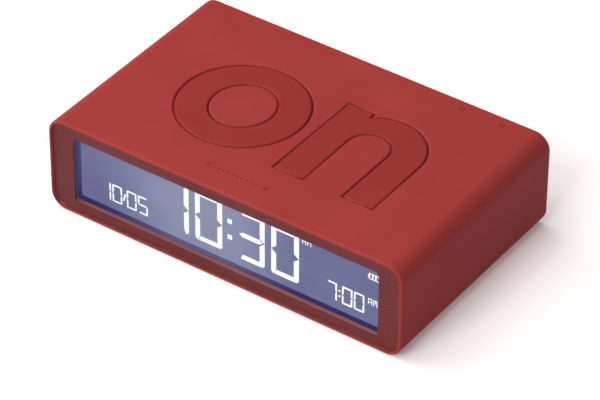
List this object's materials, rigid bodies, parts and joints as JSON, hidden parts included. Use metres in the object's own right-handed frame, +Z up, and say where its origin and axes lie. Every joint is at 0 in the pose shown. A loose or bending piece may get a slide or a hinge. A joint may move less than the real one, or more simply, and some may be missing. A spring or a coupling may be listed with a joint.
{
  "type": "digital alarm clock",
  "caption": "Flat rounded alarm clock that lies on either broad face to arm or silence the alarm, with a backlit display in its long front side and set buttons at the rear.",
  "frame": {"origin": "centre of the base, on the surface that the clock lies on", "axes": "+X to the right along the display, +Y to the rear, +Z up through the face marked on"},
  "size_m": [0.105, 0.065, 0.027],
  "materials": {
    "case_red": "soft-touch matte",
    "letter_red": "fine smooth matte",
    "lens_clear": "polished clear sheet",
    "mask_red": "printed ink under the lens",
    "tape_black": "acrylic foam tape",
    "frame_red": "moulded satin",
    "polariser": "film",
    "glass": "clear",
    "lcd_blue": "backlit blue field",
    "lcd_border": "dark printed border",
    "segment_white": "lit segments",
    "film_white": "film",
    "guide_clear": "polished light guide",
    "led_white": "encapsulant",
    "strip_white": "flexible strip",
    "zebra_rubber": "layered elastomer",
    "board_green": "solder mask",
    "connector_white": "moulded",
    "ribbon_amber": "polyimide film",
    "chassis_black": "moulded",
    "chip_black": "moulded",
    "screw_steel": "zinc plated",
    "socket_steel": "drawn and plated",
    "button_red": "fine matte",
    "cell_foil": "laminated foil",
    "brass": "bright",
    "can_steel": "drawn can",
    "touch_copper": "foil",
    "foam_grey": "woven conductive wrap over foam",
    "panel_red": "moulded matte"
  },
  "bodies": {
    "case": {"outer_sleeve": "case_red", "on_letter_o": "letter_red", "on_letter_n": "letter_red", "off_letter_o": "letter_red", "off_letter_f_near": "letter_red", "off_letter_f_far": "letter_red", "front_lens": "lens_clear", "lens_mask": "mask_red", "lens_tape": "tape_black", "display_frame": "frame_red", "front_polariser": "polariser", "rear_polariser": "polariser", "lcd_front_glass": "glass", "lcd_rear_glass": "lcd_blue", "lcd_border": "lcd_border", "lcd_segments": "segment_white", "diffuser_film": "film_white", "reflector_film": "film_white", "battery_tape": "film_white", "light_guide": "guide_clear", "backlight_leds": "led_white", "led_strip": "strip_white", "zebra_strips": "zebra_rubber", "display_board": "board_green", "main_board": "board_green", "ribbon_connectors": "connector_white", "display_ribbon": "ribbon_amber", "chassis": "chassis_black", "buzzer_housing": "chassis_black", "controller_chip": "chip_black", "charger_chip": "chip_black", "socket_tongue": "chip_black", "hour_switch": "chip_black", "minute_switch": "chip_black", "board_screws": "screw_steel", "rear_screws": "screw_steel", "clock_crystal": "screw_steel", "socket_shell": "socket_steel", "battery_cell": "cell_foil", "buzzer_disc": "brass", "battery_tabs": "brass", "tilt_can": "can_steel", "top_touch_plate": "touch_copper", "bottom_touch_plate": "touch_copper", "top_touch_foam": "foam_grey", "bottom_touch_foam": "foam_grey", "rear_panel": "panel_red"},
    "hour_key": {"hour_button": "button_red", "hour_plunger": "connector_white"},
    "minute_key": {"minute_button": "button_red", "minute_plunger": "connector_white"},
    "tilt_sensor": {"tilt_ball": "brass"}
  },
  "joints": [
    {"name": "hour_press", "type": "slide", "parent": "case", "child": "hour_key", "axis": [0, -1, 0], "range_m": [0, 0.0004], "stiffness_N_per_m": 2000},
    {"name": "minute_press", "type": "slide", "parent": "case", "child": "minute_key", "axis": [0, -1, 0], "range_m": [0, 0.0004], "stiffness_N_per_m": 2000},
    {"name": "tilt_drop", "type": "slide", "parent": "case", "child": "tilt_sensor", "axis": [0, 0, 1], "range_m": [0, 0.0026]}
  ]
}
